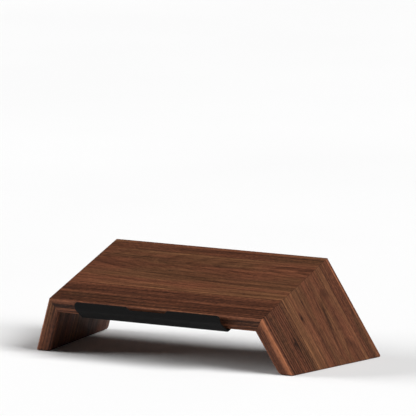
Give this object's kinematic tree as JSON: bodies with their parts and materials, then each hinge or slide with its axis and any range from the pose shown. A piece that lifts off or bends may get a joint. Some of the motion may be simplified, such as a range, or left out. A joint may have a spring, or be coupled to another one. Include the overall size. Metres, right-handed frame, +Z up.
{
  "type": "laptop stand",
  "caption": "Sloping walnut bridge stand for a laptop, with splayed mitred legs and a bent black steel stop along the front edge.",
  "frame": {"origin": "centre of the stand's footprint, on the desk", "axes": "+X to the right along the front edge, +Y to the back, +Z up"},
  "size_m": [0.5008, 0.2778, 0.1517],
  "materials": {
    "walnut": "oiled walnut, satin",
    "tenon_beech": "raw beech",
    "stop_black": "fine-textured matte black powder coat on steel sheet",
    "liner_felt": "black felt",
    "screw_steel": "black oxide steel",
    "insert_brass": "turned brass",
    "foot_rubber": "thin matte rubber"
  },
  "bodies": {
    "root": {"top_board_front_stave": "walnut", "top_board_middle_stave": "walnut", "top_board_rear_stave": "walnut", "right_leg_front_stave": "walnut", "right_leg_middle_stave": "walnut", "right_leg_rear_stave": "walnut", "left_leg_front_stave": "walnut", "left_leg_middle_stave": "walnut", "left_leg_rear_stave": "walnut", "right_mitre_tenons": "tenon_beech", "left_mitre_tenons": "tenon_beech", "front_stop": "stop_black", "front_stop_liner": "liner_felt", "front_stop_screws": "screw_steel", "threaded_inserts": "insert_brass", "right_foot_strip": "foot_rubber", "left_foot_strip": "foot_rubber"}
  },
  "joints": []
}
